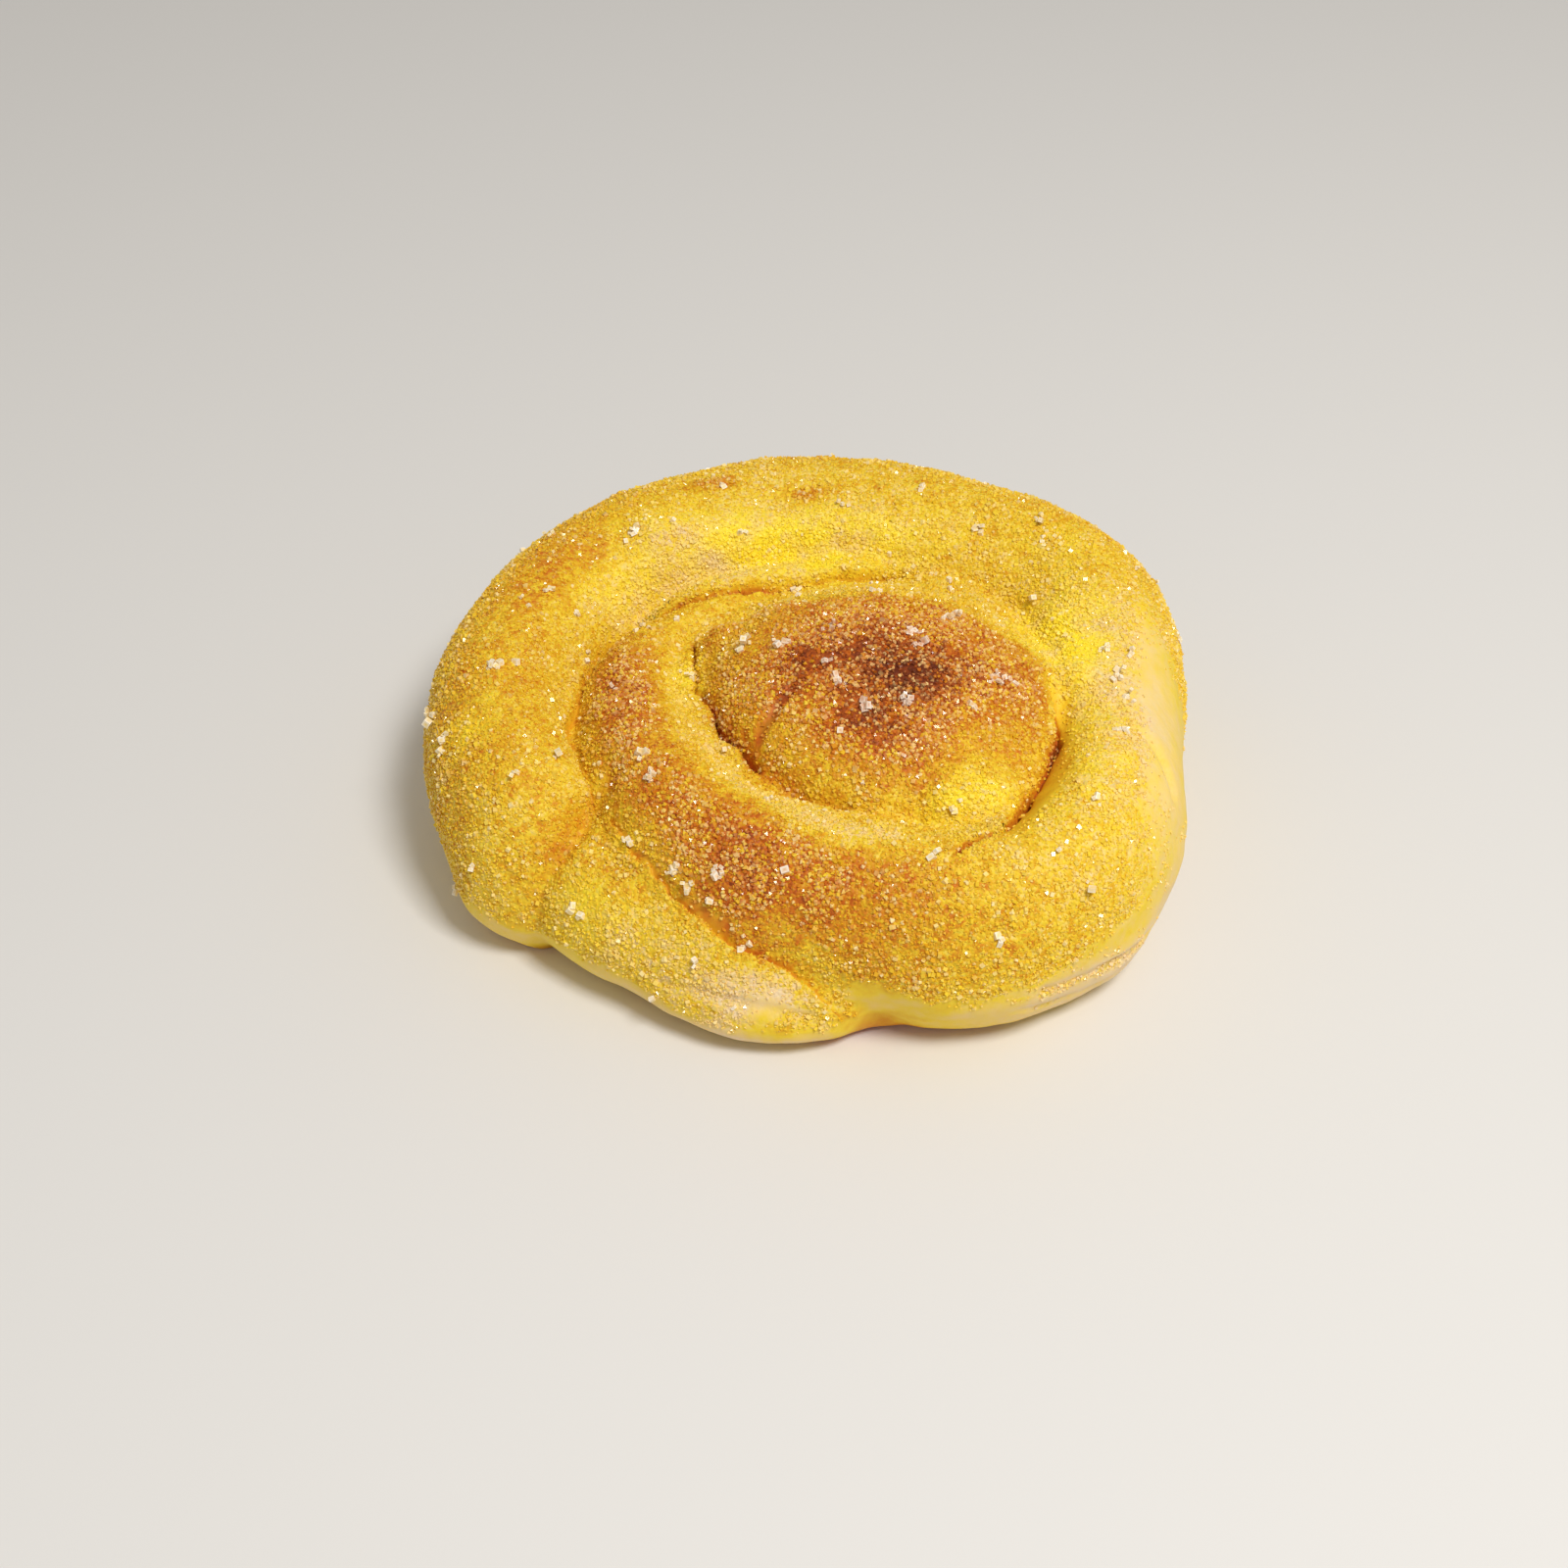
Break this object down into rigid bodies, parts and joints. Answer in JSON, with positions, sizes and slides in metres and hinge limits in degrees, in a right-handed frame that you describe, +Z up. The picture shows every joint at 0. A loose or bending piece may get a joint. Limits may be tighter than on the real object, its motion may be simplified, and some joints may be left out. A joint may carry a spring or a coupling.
{
  "type": "ensaymada",
  "caption": "Coiled sweet bun: a rope of soft yellow dough wound into a flat spiral around a domed, browned heart, coated with coarse sugar.",
  "frame": {"origin": "centre of the bounding box, on the flat underside that the bun rests on", "axes": "+Z up, -Y towards the front where the tail is tucked in, +X to the right seen from the front"},
  "size_m": [0.1082, 0.1046, 0.0373],
  "materials": {
    "sugared_dough": "matte baked dough with a coat of clear sugar crystals"
  },
  "bodies": {
    "root": {"bun": "sugared_dough"}
  },
  "joints": []
}
